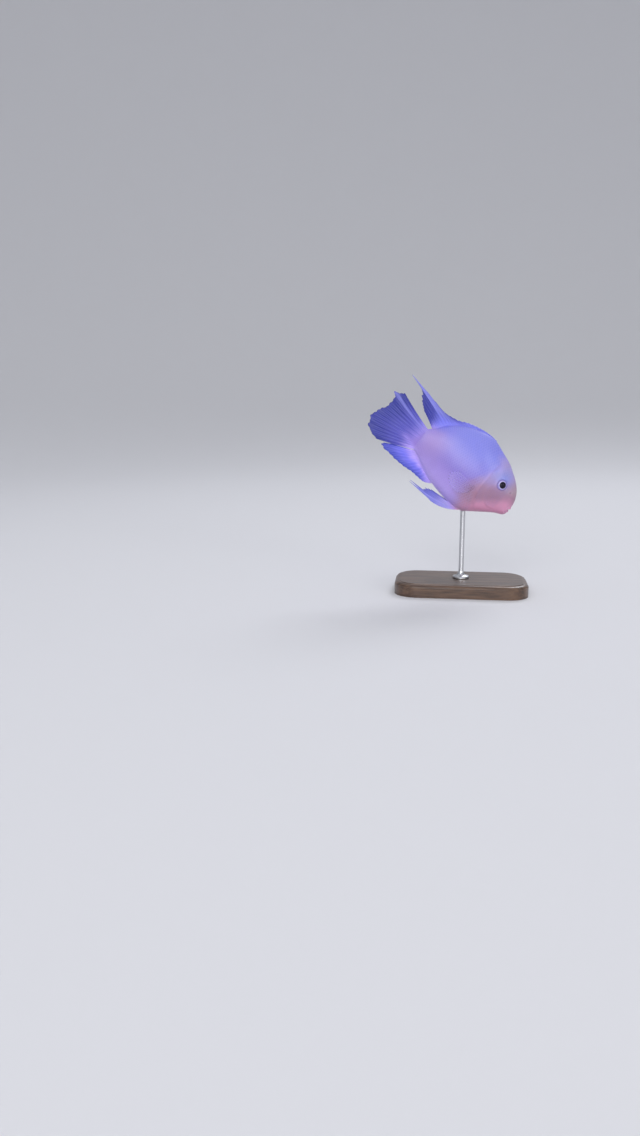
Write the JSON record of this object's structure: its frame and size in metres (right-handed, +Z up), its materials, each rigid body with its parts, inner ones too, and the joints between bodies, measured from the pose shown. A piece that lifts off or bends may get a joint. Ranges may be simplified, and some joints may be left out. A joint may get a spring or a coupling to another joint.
{
  "type": "blood parrot cichlid model",
  "caption": "Still, life-size pale blood parrot cichlid swimming nose down, with trailing fins, held by one rod on a flat display base.",
  "frame": {"origin": "centre of the stand's underside, on the floor", "axes": "+Z up, +X towards the fish's head, +Y towards the fish's left side"},
  "size_m": [0.0983, 0.048, 0.1314],
  "materials": {
    "skin": "satin lavender-white fish skin, pink on the throat and belly, with fine scales",
    "fin_membrane": "thin translucent violet-blue membrane on paler rays",
    "eye": "glossy eye with a wide black pupil and a thin pale lavender ring",
    "base_wood": "dark stained wood, satin lacquer, with rounded edges",
    "rod_steel": "brushed steel rod with a turned foot"
  },
  "bodies": {
    "root": {"head": "skin", "torso": "skin", "tail_stem": "skin", "dorsal_fin": "fin_membrane", "caudal_fin": "fin_membrane", "anal_fin": "fin_membrane", "pelvic_fin_left": "fin_membrane", "pelvic_fin_right": "fin_membrane", "pectoral_fin_left": "fin_membrane", "pectoral_fin_right": "fin_membrane", "eye_left": "eye", "eye_right": "eye", "stand_base": "base_wood", "stand_rod": "rod_steel"}
  },
  "joints": []
}
